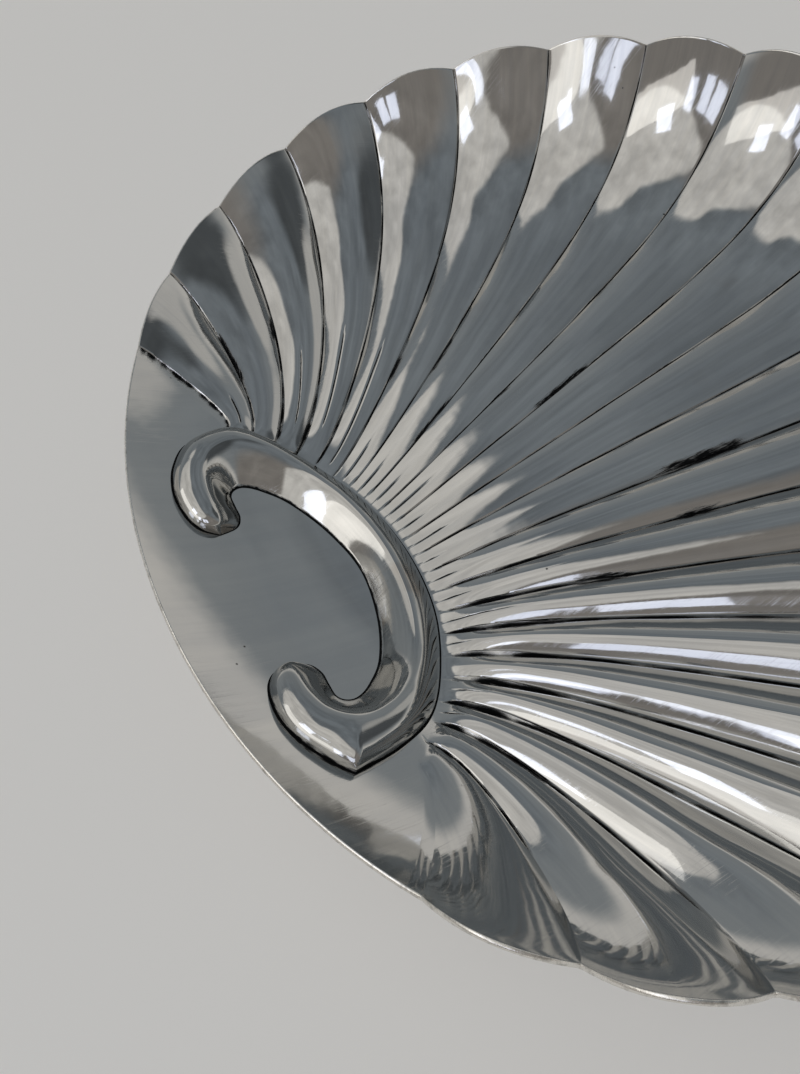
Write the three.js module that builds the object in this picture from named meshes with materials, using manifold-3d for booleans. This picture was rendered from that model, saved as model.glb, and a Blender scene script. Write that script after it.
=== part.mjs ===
import * as THREE from 'three';
import { mergeVertices } from 'three/addons/utils/BufferGeometryUtils.js';
import Module from 'manifold-3d';

// Scallop-shell serving dish raised and chased in silver sheet, with an applied C-scroll and three ball feet.
// Millimetres, +Z up. The shell's axis is Y, from the scroll towards the open edge of the fan.
// Plan positions are measured from the bowl's pole, the point the rim's outline is drawn about.

// The rim's outline, a radius that varies with the angle from +Y.
const RIM_MEAN = 145;
const RIM_AXIAL = 6.2;
const RIM_BROAD = 10.5;
const LOBE_REACH = 1.7;

// The bowl: a flat floor that turns up steeply at the edge. At the hinge end it rises earlier and more gently.
const BOWL_DEPTH = 36.3;
const BOWL_TURN = 6.4;
const HINGE_TURN = 4.1;
const HINGE_FROM = THREE.MathUtils.degToRad(109);
const HINGE_TO = THREE.MathUtils.degToRad(149);
const HINGE_RISES = 0.45;
const HINGE_RISEN = 0.8;
const SHEET = 1.2;

// The fan of ribs. Lines leave the arc round the scroll square to it and meet the rim square to it.
const LOBES = 21;
const FAN_HALF = THREE.MathUtils.degToRad(137.5);
const ARC_RADIUS = 85;
const ARC_HALF = THREE.MathUtils.degToRad(48.9);
const LINE_LEAVES = 0.2;
const LINE_MEETS = 0.13;
const RIB_RISE = 0.115;
const RIB_TAPER_IN = 0.08;
const SIDE_RIBS_FROM = 6.5;
const SIDE_RIBS_TO = 9.5;
const SIDE_RIBS_LOSS = 0.5;

// No two ribs are alike: how full each is half way along, against its fullness at the rim, from left to right.
const RIB_SWELL = [
  1.9, 1.9, 1.8, 1.35, 1, 0.8, 0.7, 0.7, 0.7, 0.8, 1,
  1.3, 1.7, 2.2, 2.6, 2.8, 2.7, 2.7, 2.6, 2.1, 1.2,
];
const SWELL_FADES = 0.62;
const SWELL_GONE = 0.96;

// The C-scroll: its outer and inner edges on one side, as x across and y from the crown of the C.
const SCROLL_FROM_RIM = 65.45;
const SCROLL_OUTER = [
  [0, 0], [22, -2.6], [40, -9.8], [54.2, -19.3], [61.6, -30.4], [59, -41.8],
  [51, -48.3], [41.5, -51.6], [32.5, -51.8], [26.9, -49.8], [24, -45.8],
];
const SCROLL_INNER = [
  [0, -14.9], [17, -17.7], [31, -23.4], [38, -29.3], [40.5, -33.3], [40.2, -36.3],
  [38, -38.2], [34, -38.6], [29.6, -38.9], [25.9, -41], [24, -45.8],
];
const SCROLL_HEIGHT = 0.88;
const SCROLL_WALL = 0.9;
const SCROLL_CLOSED_END = 0.055;
const FLUTE_STANDOFF = 0.6;
const FIELD_CENTRE_BELOW_CROWN = 31;
const FIELD_REACH = 22;

// Ball feet: one under the scroll, two under lines of the fan.
const FOOT_RADIUS = 7.5;
const FOOT_FLAT = 2.6;
const FOOT_SEAT = 13.3;
const FOOT_FRONT_LINE = 2.5;
const FOOT_FRONT_ALONG = 0.58;

// Clearance that solder fills between joined pieces.
const SOLDER = 0.3;

// Facets.
const FACETS_PER_LOBE = 6;
const PLAIN_COLUMNS = 14;
const FLUTE_RINGS = 14;
const RING_EASE = 1.3;
const FIELD_RINGS = [0.9, 0.77, 0.62, 0.44, 0.22];
const FACETS_ALONG_BAND = 64;
const FACETS_OVER_BAND = 8;
const FACETS_UP_FOOT = 10;
const FACETS_ROUND_FOOT = 18;

const silver = (colour, roughness) => new THREE.MeshStandardMaterial({ color: colour, metalness: 1, roughness });

function rimRadius(angle) {
  return RIM_MEAN + RIM_AXIAL * Math.cos(angle) - RIM_BROAD * Math.cos(2 * angle);
}

function rimPoint(angle, beyond) {
  const r = rimRadius(angle) + beyond;
  return new THREE.Vector2(r * Math.sin(angle), r * Math.cos(angle));
}

function floorHeight(p) {
  const angle = Math.atan2(p.x, p.y);
  const share = p.length() / rimRadius(angle);
  const atHinge = THREE.MathUtils.smoothstep(Math.abs(angle), HINGE_FROM, HINGE_TO)
    * THREE.MathUtils.smoothstep(share, HINGE_RISES, HINGE_RISEN);
  return BOWL_DEPTH * share ** THREE.MathUtils.lerp(BOWL_TURN, HINGE_TURN, atHinge);
}

function floorNormal(p) {
  const step = 0.01;
  const rise = (dx, dy) => floorHeight(new THREE.Vector2(p.x + dx, p.y + dy));
  const slopeX = (rise(step, 0) - rise(-step, 0)) / (2 * step);
  const slopeY = (rise(0, step) - rise(0, -step)) / (2 * step);
  return new THREE.Vector3(-slopeX, -slopeY, 1).normalize();
}

// A column runs from the field's centre over the arc to the rim. In the fan it is placed by lane, counted in
// lobes from the axis; in the plain sector by the share of the way round from the last line to the first.
const scrollCrownY = SCROLL_FROM_RIM - rimRadius(Math.PI);
const arcCentreY = scrollCrownY + FLUTE_STANDOFF - ARC_RADIUS;

function fanColumn(lane) {
  const share = lane / (LOBES / 2);
  const turn = share * ARC_HALF;
  const leaves = new THREE.Vector2(Math.sin(turn), Math.cos(turn));
  const start = leaves.clone().multiplyScalar(ARC_RADIUS).add(new THREE.Vector2(0, arcCentreY));
  const inLobe = (lane + LOBES / 2) % 1;
  const sideLoss = SIDE_RIBS_LOSS * THREE.MathUtils.smoothstep(Math.abs(lane), SIDE_RIBS_FROM, SIDE_RIBS_TO);
  const crown = 4 * inLobe * (1 - inLobe) * (1 - sideLoss);
  return { lane, angle: share * FAN_HALF, start, leaves, crown };
}

function plainColumn(share) {
  const last = fanColumn(LOBES / 2);
  const turn = ARC_HALF + share * 2 * (Math.PI - ARC_HALF);
  const start = new THREE.Vector2(
    last.start.x * Math.cos(Math.PI * share),
    last.start.y - FIELD_REACH * Math.sin(Math.PI * share),
  );
  const leaves = new THREE.Vector2(Math.sin(turn), Math.cos(turn));
  return { lane: null, angle: FAN_HALF + share * 2 * (Math.PI - FAN_HALF), start, leaves, crown: 0 };
}

function alongColumn(column, t) {
  const end = rimPoint(column.angle, LOBE_REACH * column.crown);
  const step = 0.001;
  const tangent = rimPoint(column.angle + step, 0).sub(rimPoint(column.angle - step, 0)).normalize();
  const outward = new THREE.Vector2(-tangent.y, tangent.x);
  const length = end.distanceTo(column.start);
  const line = new THREE.CubicBezierCurve(
    column.start,
    column.start.clone().addScaledVector(column.leaves, LINE_LEAVES * length),
    end.clone().addScaledVector(outward, -LINE_MEETS * length),
    end,
  );
  return line.getPoint(t);
}

function ribHeight(column, t) {
  if (column.crown === 0) return 0;
  const lobe = Math.floor(column.lane + LOBES / 2);
  const low = lobe - LOBES / 2;
  const width = alongColumn(fanColumn(low), t).distanceTo(alongColumn(fanColumn(low + 1), t));
  const swells = THREE.MathUtils.smoothstep(t, 0, 2 * RIB_TAPER_IN)
    * (1 - THREE.MathUtils.smoothstep(t, SWELL_FADES, SWELL_GONE));
  const full = 1 + (RIB_SWELL[lobe] - 1) * swells;
  return RIB_RISE * width * column.crown * full * THREE.MathUtils.smoothstep(t, 0, RIB_TAPER_IN);
}

const columns = [];
for (let i = 0; i <= LOBES * FACETS_PER_LOBE; i++) columns.push(fanColumn(i / FACETS_PER_LOBE - LOBES / 2));
for (let i = 1; i < PLAIN_COLUMNS; i++) columns.push(plainColumn(i / PLAIN_COLUMNS));

// The sheet's upper face, ring by ring from the rim in to the field's centre. Inside the arc only every
// second column of the fan goes on, and near the centre every sixth.
const upper = [];
const faces = [];
const floorLevel = FOOT_SEAT + SHEET;

function ringOf(indices, place) {
  return indices.map((i) => {
    upper.push(place(columns[i]));
    return { column: i, vertex: upper.length - 1 };
  });
}

const every = columns.map((_, i) => i);
const fanLast = LOBES * FACETS_PER_LOBE;
const everySecond = every.filter((i) => (i <= fanLast ? i % 2 === 0 : true));
const everySixth = every.filter((i) => (i <= fanLast ? i % FACETS_PER_LOBE === 0 : (i - fanLast) % 2 === 0));
const centre = new THREE.Vector2(0, scrollCrownY - FIELD_CENTRE_BELOW_CROWN);
const onFloor = (p) => new THREE.Vector3(p.x, p.y, floorLevel + floorHeight(p));

const rings = [];
for (let k = FLUTE_RINGS; k >= 0; k--) {
  const t = 1 - (1 - k / FLUTE_RINGS) ** RING_EASE;
  rings.push(ringOf(every, (column) => {
    const p = alongColumn(column, t);
    return onFloor(p).addScaledVector(floorNormal(p), ribHeight(column, t));
  }));
}
FIELD_RINGS.forEach((share, k) => {
  const indices = k < 3 ? everySecond : everySixth;
  rings.push(ringOf(indices, (column) => onFloor(centre.clone().lerp(column.start, share))));
});
upper.push(onFloor(centre));
const middle = upper.length - 1;

// Joins two rings, the inner with as many columns or fewer, with faces seen from above.
function stitch(outer, inner) {
  let at = 0;
  for (let k = 0; k < inner.length; k++) {
    const next = inner[(k + 1) % inner.length];
    const stop = k + 1 < inner.length ? outer.findIndex((v) => v.column === next.column) : outer.length;
    const half = Math.ceil((at + stop) / 2);
    for (let i = at; i < stop; i++) {
      const from = i < half ? inner[k] : next;
      if (i === half) faces.push([inner[k].vertex, outer[i].vertex, next.vertex]);
      faces.push([from.vertex, outer[i].vertex, outer[(i + 1) % outer.length].vertex]);
    }
    if (half === stop) faces.push([inner[k].vertex, outer[stop % outer.length].vertex, next.vertex]);
    at = stop;
  }
}

for (let k = 0; k + 1 < rings.length; k++) stitch(rings[k], rings[k + 1]);
const lastRing = rings[rings.length - 1];
lastRing.forEach((v, k) => faces.push([middle, v.vertex, lastRing[(k + 1) % lastRing.length].vertex]));
for (const face of faces) face.reverse();

// The normal of the sheet at each point of its upper face.
const normals = upper.map(() => new THREE.Vector3());
for (const [a, b, c] of faces) {
  const n = upper[b].clone().sub(upper[a]).cross(upper[c].clone().sub(upper[a]));
  for (const i of [a, b, c]) normals[i].add(n);
}
for (const n of normals) n.normalize();

// A closed skin between two faces of the sheet, each given by its distance along the normal.
function sheetBetween(above, below) {
  const points = [];
  for (const offset of [above, below]) {
    upper.forEach((p, i) => points.push(p.clone().addScaledVector(normals[i], offset)));
  }
  const count = upper.length;
  const triangles = [];
  for (const [a, b, c] of faces) {
    triangles.push([a, b, c]);
    triangles.push([a + count, c + count, b + count]);
  }
  const edge = rings[0];
  edge.forEach((v, k) => {
    const a = v.vertex;
    const b = edge[(k + 1) % edge.length].vertex;
    triangles.push([a, b, a + count]);
    triangles.push([b, b + count, a + count]);
  });
  return solidFrom(points, triangles);
}

function solidFrom(points, triangles) {
  const geometry = new THREE.BufferGeometry();
  geometry.setAttribute('position', new THREE.Float32BufferAttribute(points.flatMap((p) => p.toArray()), 3));
  geometry.setIndex(triangles.flat());
  return geometry;
}

// Booleans on closed geometries.
const wasm = await Module();
wasm.setup();

function toSolid(geometry) {
  const bare = geometry.clone();
  bare.deleteAttribute('normal');
  bare.deleteAttribute('uv');
  const merged = mergeVertices(bare);
  return new wasm.Manifold(new wasm.Mesh({
    numProp: 3,
    vertProperties: new Float32Array(merged.attributes.position.array),
    triVerts: new Uint32Array(merged.index.array),
  }));
}

function cut(geometry, tool) {
  const mesh = toSolid(geometry).subtract(toSolid(tool)).getMesh();
  const result = new THREE.BufferGeometry();
  result.setAttribute('position', new THREE.BufferAttribute(new Float32Array(mesh.vertProperties), 3));
  result.setIndex(new THREE.BufferAttribute(new Uint32Array(mesh.triVerts), 1));
  return result;
}

// The point and the normal of the sheet's upper face above a plan position.
function onSheet(p) {
  for (const [a, b, c] of faces) {
    const u = upper[b].clone().sub(upper[a]);
    const v = upper[c].clone().sub(upper[a]);
    const area = u.x * v.y - u.y * v.x;
    const x = p.x - upper[a].x;
    const y = p.y - upper[a].y;
    const s = (x * v.y - y * v.x) / area;
    const t = (u.x * y - u.y * x) / area;
    if (s < -1e-6 || t < -1e-6 || s + t > 1 + 1e-6) continue;
    const point = upper[a].clone().addScaledVector(u, s).addScaledVector(v, t);
    const normal = normals[a].clone().multiplyScalar(1 - s - t);
    normal.addScaledVector(normals[b], s).addScaledVector(normals[c], t).normalize();
    return { point, normal };
  }
  throw new Error('outside the sheet');
}

// The scroll is an arched band between its two edges, hollow underneath and closed at both curled ends.
function bothSides(half) {
  const right = half.map(([x, y]) => new THREE.Vector2(x, y + scrollCrownY));
  const left = right.slice(1).reverse().map((p) => new THREE.Vector2(-p.x, p.y));
  return new THREE.SplineCurve([...left, ...right]);
}

const outerEdge = bothSides(SCROLL_OUTER);
const innerEdge = bothSides(SCROLL_INNER);

function bandSection(share, wall, lift) {
  const outer = outerEdge.getPoint(share);
  const inner = innerEdge.getPoint(share);
  const across = inner.clone().sub(outer);
  const width = across.length();
  const rise = SCROLL_HEIGHT * width / 2 - wall;
  const arch = [];
  const base = [];
  for (let j = 0; j <= FACETS_OVER_BAND; j++) {
    const turn = Math.PI * j / FACETS_OVER_BAND;
    const along = (wall + (width - 2 * wall) * (1 - Math.cos(turn)) / 2) / width;
    const { point, normal } = onSheet(outer.clone().addScaledVector(across, along));
    base.push(point.clone().addScaledVector(normal, SOLDER + lift));
    const height = SOLDER + (j === 0 || j === FACETS_OVER_BAND ? lift : rise * Math.sin(turn));
    arch.push(point.clone().addScaledVector(normal, height));
  }
  return { arch, base };
}

function band(from, to, sections, wall, lift, pointed) {
  const points = [];
  const triangles = [];
  const loops = [];
  for (let k = 0; k <= sections; k++) {
    const share = from + (to - from) * k / sections;
    if (pointed && (k === 0 || k === sections)) {
      const tip = onSheet(outerEdge.getPoint(share));
      points.push(tip.point.addScaledVector(tip.normal, SOLDER));
      loops.push(new Array(2 * FACETS_OVER_BAND).fill(points.length - 1));
      continue;
    }
    const { arch, base } = bandSection(share, wall, lift);
    const loop = [...arch, ...base.slice(1, -1).reverse()];
    loops.push(loop.map((p) => points.push(p) - 1));
  }
  const count = 2 * FACETS_OVER_BAND;
  const face = (a, b, c) => {
    if (a !== b && b !== c && c !== a) triangles.push([a, b, c]);
  };
  for (let k = 0; k < sections; k++) {
    for (let j = 0; j < count; j++) {
      const i = (j + 1) % count;
      face(loops[k][j], loops[k][i], loops[k + 1][j]);
      face(loops[k][i], loops[k + 1][i], loops[k + 1][j]);
    }
  }
  if (!pointed) {
    for (const [loop, flip] of [[loops[0], true], [loops[sections], false]]) {
      for (let j = 0; j < FACETS_OVER_BAND; j++) {
        const quad = [loop[j], loop[j + 1], loop[(count - j - 1) % count], loop[(count - j) % count]];
        if (flip) quad.reverse();
        face(quad[0], quad[1], quad[2]);
        face(quad[0], quad[2], quad[3]);
      }
    }
  }
  return solidFrom(points, triangles);
}

const scrollSolid = band(0, 1, FACETS_ALONG_BAND, 0, 0, true);
const scrollHollow = band(SCROLL_CLOSED_END, 1 - SCROLL_CLOSED_END, FACETS_ALONG_BAND, SCROLL_WALL, -1, false);

// A ball foot, flat where it stands and fitted to the underside of the sheet.
const footCentre = Math.sqrt(FOOT_RADIUS ** 2 - FOOT_FLAT ** 2);

function ballFoot(p) {
  const profile = [new THREE.Vector2(0, 0)];
  const low = Math.asin(-footCentre / FOOT_RADIUS);
  for (let k = 0; k <= FACETS_UP_FOOT; k++) {
    const turn = low + (Math.PI / 2 - low) * k / FACETS_UP_FOOT;
    const r = k === FACETS_UP_FOOT ? 0 : FOOT_RADIUS * Math.cos(turn);
    profile.push(new THREE.Vector2(r, footCentre + FOOT_RADIUS * Math.sin(turn)));
  }
  const ball = new THREE.LatheGeometry(profile, FACETS_ROUND_FOOT);
  ball.rotateX(Math.PI / 2);
  ball.translate(p.x, p.y, 0);
  return cut(ball, sheetBetween(FOOT_RADIUS, -SHEET - SOLDER));
}

const dish = new THREE.Group();

function piece(name, geometry, material) {
  const mesh = new THREE.Mesh(geometry, material);
  mesh.name = name;
  dish.add(mesh);
}

const frontFoot = alongColumn(fanColumn(FOOT_FRONT_LINE), FOOT_FRONT_ALONG);
const rearFoot = new THREE.Vector2(0, scrollCrownY + SCROLL_INNER[0][1] / 2);
piece('dish_shell', sheetBetween(0, -SHEET), silver(0xb4b3b0, 0.12));
piece('scroll_handle', cut(scrollSolid, scrollHollow), silver(0xb0afac, 0.14));
piece('foot_rear', ballFoot(rearFoot), silver(0xaaa9a6, 0.2));
piece('foot_front_right', ballFoot(frontFoot), silver(0xaaa9a6, 0.2));
piece('foot_front_left', ballFoot(new THREE.Vector2(-frontFoot.x, frontFoot.y)), silver(0xaaa9a6, 0.2));

// The origin is under the middle of the dish's box, on the plane that the feet stand on.
const box = new THREE.Box3().setFromObject(dish);
const middleOfBox = box.getCenter(new THREE.Vector3());
dish.position.set(0, -middleOfBox.y, -box.min.z);

export default dish;
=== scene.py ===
import math

import bpy
import numpy as np
from mathutils import Matrix, Vector


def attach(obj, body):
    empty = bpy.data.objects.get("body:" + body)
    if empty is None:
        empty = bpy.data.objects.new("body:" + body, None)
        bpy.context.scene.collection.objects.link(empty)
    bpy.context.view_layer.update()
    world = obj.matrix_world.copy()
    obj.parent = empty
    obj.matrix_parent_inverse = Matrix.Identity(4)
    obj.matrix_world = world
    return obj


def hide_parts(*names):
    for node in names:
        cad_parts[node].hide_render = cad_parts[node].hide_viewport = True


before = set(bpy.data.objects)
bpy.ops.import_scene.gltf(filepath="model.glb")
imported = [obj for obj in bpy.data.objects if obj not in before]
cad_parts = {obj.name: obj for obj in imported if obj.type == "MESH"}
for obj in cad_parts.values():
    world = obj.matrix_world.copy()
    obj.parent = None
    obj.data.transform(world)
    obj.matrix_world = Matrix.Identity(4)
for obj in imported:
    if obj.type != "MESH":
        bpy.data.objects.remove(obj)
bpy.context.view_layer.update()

MM = 0.001
scene = bpy.context.scene
scene.view_settings.view_transform = "Standard"

# Sizes in millimetres. Plan positions are measured from the bowl's pole,
# which lies POLE_Y along the dish's axis.
POLE_Y = -5.91
RIM_MEAN, RIM_AXIAL, RIM_BROAD, LOBE_REACH = 145, 6.2, 10.5, 1.7
BOWL_DEPTH, BOWL_TURN, HINGE_TURN, SHEET, EDGE_ROUND, FOOT_SEAT = 36.3, 6.4, 4.1, 1.2, 0.34, 13.3
# Faces that meet at more than this angle, in degrees, show a crease.
DISH_CREASE, SCROLL_CREASE, FOOT_CREASE = 34, 50, 35
HINGE_FROM, HINGE_TO, HINGE_RISES, HINGE_RISEN = math.radians(109), math.radians(149), 0.45, 0.8
LOBES, FAN_HALF = 21, math.radians(137.5)
ARC_RADIUS, ARC_HALF = 85, math.radians(48.9)
LINE_LEAVES, LINE_MEETS = 0.2, 0.13
SINK_DEPTH, SINK_REACH, SINK_INSIDE = 2, 48, 7
RIB_RISE = 0.115
# The ribs get lower towards both ends of the fan, and less so at the near end.
SIDE_RIBS_FROM, SIDE_RIBS_TO, SIDE_RIBS_LOSS, NEAR_RIBS_LOSS = 6.5, 9.5, 0.5, 0.1
SCROLL_CROWN_Y, FLUTE_STANDOFF = -62.85, 0.6
FIELD_CENTRE_Y, FIELD_REACH = -93.85, 22
FLOOR_LEVEL = FOOT_SEAT + SHEET
ARC_CENTRE_Y = SCROLL_CROWN_Y + FLUTE_STANDOFF - ARC_RADIUS
# The scroll's edges from the middle of its back to the tip of a curl. The near heel is pinched to a point.
SCROLL_OUTER_FAR = [
    (0, 0), (22, -2.6), (40, -9.8), (54.2, -19.3), (61.6, -30.4), (59, -41.8),
    (51, -48.3), (41.5, -51.6), (32.5, -51.8), (26.9, -49.8), (24, -45.8),
]
SCROLL_INNER = [
    (0, -14.9), (17, -17.7), (31, -23.4), (38, -29.3), (40.5, -33.3), (40.2, -36.3),
    (38, -38.2), (34, -38.6), (29.6, -38.9), (25.9, -41), (24, -45.8),
]
SCROLL_OUTER_NEAR = [
    (0, 0), (22, -2.6), (40, -10.4), (52.9, -19.8), (58.2, -30.8), (57.4, -41.8),
    (50.4, -48.3), (41.5, -51.8), (32.5, -52), (26.9, -49.9), (24, -45.8),
]
SCROLL_HEIGHT, SCROLL_CREST, FLANK_ROUND, SLOPE_ROUND = 0.88, 0.4, 0.92, 1.4
SCROLL_STANDOFF, SOLDER_FLANGE = 0.12, 0.4
# Black along the scroll's seam, partly dirt in the solder joint and partly painted shade in the corner where
# the scroll meets the sheet, and thinner painted shade that climbs its outer flank.
SEAM_BLACK_RISE, FLANK_PAINTED_SHADE, FLANK_PAINTED_SHADE_RISE = 0.36, 0.42, 2.4
HEEL_POINT, HEEL_PINCH, HEEL_SPREAD, HEEL_FADE = (60.8, -42.6), 3.4, 5, 1.5
FOOT_RADIUS, FOOT_FLAT, FOOT_BEVEL, COLLAR_AT = 7.5, 2.6, 0.35, 12.4
# The solder collar under the sheet: how far each step rises, and how much it widens.
COLLAR_STEPS = [(0.35, 1.03), (0.3, 1.1), (0.25, 1.16), (1.1, 1.0)]
FOOT_PLACES = {
    "foot_rear": (0, -76.21),
    "foot_front_right": (52.95, 47.78),
    "foot_front_left": (-52.95, 47.78),
}

# Polishing streaks: each rib's lie this far from its neighbour's in the pattern, the field's are drawn out,
# and the scroll's step on from row to row.
RIB_GRAIN_APART, FIELD_GRAIN, SCROLL_GRAIN = 60, 0.25, 0.7
# The chaser's lines: how wide and deep the tool cut, and the mesh columns that lie beside each line.
LINE_HALF_WIDTH, LINE_DEPTH, BLACK_HALF_WIDTH = 0.4, 0.32, 0.27
BESIDE_LINE = np.array([0, 0.2, 0.42, 0.8, 1.4])
BESIDE_STROKE = np.array([-0.45, -0.2, 0, 0.2, 0.45])
BETWEEN = 6


def smooth(x):
    x = np.clip(x, 0, 1)
    return x * x * (3 - 2 * x)


def rim_radius(angle):
    return RIM_MEAN + RIM_AXIAL * np.cos(angle) - RIM_BROAD * np.cos(2 * angle)


def rim_point(angle, beyond):
    r = rim_radius(angle) + beyond
    return np.stack([r * np.sin(angle), r * np.cos(angle)], -1)


def floor_height(p):
    """The bowl without its ribs. At the hinge end it rises earlier and more gently."""
    angle = np.arctan2(p[..., 0], p[..., 1])
    share = np.hypot(p[..., 0], p[..., 1]) / rim_radius(angle)
    at_hinge = (smooth((np.abs(angle) - HINGE_FROM) / (HINGE_TO - HINGE_FROM))
                * smooth((share - HINGE_RISES) / (HINGE_RISEN - HINGE_RISES)))
    return BOWL_DEPTH * share ** (BOWL_TURN + (HINGE_TURN - BOWL_TURN) * at_hinge)


def floor_normal(p):
    step = 0.01
    step_x, step_y = np.array([step, 0]), np.array([0, step])
    slope_x = (floor_height(p + step_x) - floor_height(p - step_x)) / (2 * step)
    slope_y = (floor_height(p + step_y) - floor_height(p - step_y)) / (2 * step)
    n = np.stack([-slope_x, -slope_y, np.ones_like(slope_x)], -1)
    return n / np.linalg.norm(n, axis=-1, keepdims=True)


def along_line(start, leaves, angle, beyond, t):
    """A point on the curve that leaves the scroll's arc square to it and meets the rim square to it."""
    end = rim_point(angle, beyond)
    tangent = rim_point(angle + 1e-3, 0) - rim_point(angle - 1e-3, 0)
    tangent /= np.linalg.norm(tangent, axis=-1, keepdims=True)
    outward = np.stack([-tangent[..., 1], tangent[..., 0]], -1)
    length = np.linalg.norm(end - start, axis=-1, keepdims=True)
    t = t[..., None]
    return ((1 - t) ** 3 * start + 3 * t * (1 - t) ** 2 * (start + leaves * LINE_LEAVES * length)
            + 3 * t * t * (1 - t) * (end - outward * LINE_MEETS * length) + t ** 3 * end)


def arc_start(lane):
    turn = lane / (LOBES / 2) * ARC_HALF
    leaves = np.stack([np.sin(turn), np.cos(turn)], -1)
    return leaves * ARC_RADIUS + np.array([0, ARC_CENTRE_Y]), leaves


def fan_plan(lane, beyond, t):
    start, leaves = arc_start(lane)
    return along_line(start, leaves, lane / (LOBES / 2) * FAN_HALF, beyond, t)


def plain_start(share):
    last = arc_start(np.array(LOBES / 2))[0]
    turn = ARC_HALF + share * 2 * (math.pi - ARC_HALF)
    start = np.stack([last[0] * np.cos(math.pi * share), last[1] - FIELD_REACH * np.sin(math.pi * share)], -1)
    return start, np.stack([np.sin(turn), np.cos(turn)], -1)


def plain_plan(share, t):
    start, leaves = plain_start(share)
    return along_line(start, leaves, FAN_HALF + share * 2 * (math.pi - FAN_HALF), 0 * share, t)


# Planishing leaves the sheet faintly uneven: broad shallow waves, a few hundredths of a millimetre high.
# They are weaker on the plain field. Along the scroll's back, where its seam was chased, the sheet is
# driven down a little.
WAVE_RISE, WAVE_BEND, WAVE_BEND_RATE = 0.0007, 1.5, 1.9
PLAIN_FROM, PLAIN_OVER, PLAIN_CALM = 2.1, 0.35, 0.8
SINK_ENDS, SINK_FADES = 0.6, 0.25
wave_dice = np.random.default_rng(21)
HAMMER_WAVES = [
    (wave_dice.uniform(0, 2 * math.pi), length, wave_dice.uniform(0, 2 * math.pi), WAVE_RISE * length)
    for length in (19, 23, 27, 32, 38, 46, 58, 75)
]


def unevenness(p):
    height = np.zeros(p.shape[:-1])
    for heading, length, phase, rise in HAMMER_WAVES:
        run = p[..., 0] * math.cos(heading) + p[..., 1] * math.sin(heading)
        across = p[..., 1] * math.cos(heading) - p[..., 0] * math.sin(heading)
        bend = WAVE_BEND * np.sin(across / length * WAVE_BEND_RATE)
        height += rise * np.sin(2 * math.pi * run / length + phase + bend)
    plain = smooth((np.abs(np.arctan2(p[..., 0], p[..., 1])) - PLAIN_FROM) / PLAIN_OVER)
    height *= 1 - PLAIN_CALM * plain
    beyond = np.hypot(p[..., 0], p[..., 1] - ARC_CENTRE_Y) - ARC_RADIUS
    turn = np.abs(np.arctan2(p[..., 0], p[..., 1] - ARC_CENTRE_Y))
    outside = np.clip(1 - beyond / SINK_REACH, 0, 1) ** 2
    sink = np.where(beyond > 0, outside, 1 - smooth(-beyond / SINK_INSIDE))
    return height - SINK_DEPTH * sink * (1 - smooth((turn - SINK_ENDS) / SINK_FADES))


def place(points):
    """Millimetres from the pole and above the sheet's floor, to metres in the dish's frame."""
    return (points + np.array([0, POLE_Y, FLOOR_LEVEL])) * MM


def select_only(piece):
    bpy.ops.object.select_all(action="DESELECT")
    piece.select_set(True)
    bpy.context.view_layer.objects.active = piece


def wrapped_grid(name, points):
    """A grid of the array's own columns and rows, each of its points carried to its place."""
    columns, rows = points.shape[:2]
    bpy.ops.object.select_all(action="DESELECT")
    bpy.ops.mesh.primitive_grid_add(x_subdivisions=columns - 1, y_subdivisions=rows - 1, size=2)
    piece = bpy.context.object
    piece.name = piece.data.name = name
    flat = np.zeros(columns * rows * 3)
    piece.data.vertices.foreach_get("co", flat)
    flat = flat.reshape(-1, 3)
    column = np.rint((flat[:, 0] + 1) / 2 * (columns - 1)).astype(int)
    row = np.rint((flat[:, 1] + 1) / 2 * (rows - 1)).astype(int)
    piece.data.vertices.foreach_set("co", points[column, row].ravel())
    return piece, column, row


def mark_points(piece, name, values):
    attribute = piece.data.attributes.new(name, "FLOAT", "POINT")
    attribute.data.foreach_set("value", values.astype(np.float32))


def close_skin(piece, crease):
    """Seam and ends merged, faces turned outwards, smooth except at creases."""
    select_only(piece)
    bpy.ops.object.mode_set(mode="EDIT")
    bpy.ops.mesh.select_all(action="SELECT")
    bpy.ops.mesh.remove_doubles(threshold=0.004 * MM)
    bpy.ops.mesh.normals_make_consistent(inside=False)
    bpy.ops.object.mode_set(mode="OBJECT")
    bpy.ops.object.shade_smooth_by_angle(angle=math.radians(crease))


# Where the chaser's tool was heavy, skipped or went over a line twice:
# line, from and to along it, how far the blackened strokes spread in millimetres, and to which side.
HEAVY_STROKES = [
    (1, 0.36, 0.66, 1.3, 1), (2, 0.46, 0.60, 2.0, -1), (5, 0.25, 0.37, 1.8, 1), (6, 0.28, 0.42, 1.5, 1),
    (7, 0.14, 0.30, 1.1, -1), (8, 0.27, 0.36, 1.2, 1), (9, 0.30, 0.45, 1.5, -1), (12, 0.36, 0.52, 2.4, -1),
    (13, 0.36, 0.46, 1.5, -1), (14, 0.22, 0.34, 1.4, -1), (15, 0.12, 0.26, 1.2, 1), (19, 0.14, 0.40, 1.4, 1),
    (18, 0.18, 0.36, 1.1, 1), (20, 0.03, 0.20, 1.0, 1),
]
# Short strokes between the lines, next to the scroll: lobe, from and to along it.
SHORT_STROKES = [
    (0, 0.10, 0.34), (2, 0.14, 0.42), (3, 0.15, 0.44), (4, 0.04, 0.38), (5, 0.02, 0.15), (6, 0.01, 0.12),
    (7, 0.02, 0.11), (8, 0.012, 0.14), (9, 0.01, 0.09), (10, 0.01, 0.11), (11, 0.012, 0.07), (12, 0.01, 0.09),
    (13, 0.01, 0.10), (14, 0.008, 0.17), (15, 0.01, 0.08), (17, 0.03, 0.12), (18, 0.02, 0.10),
]
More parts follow.
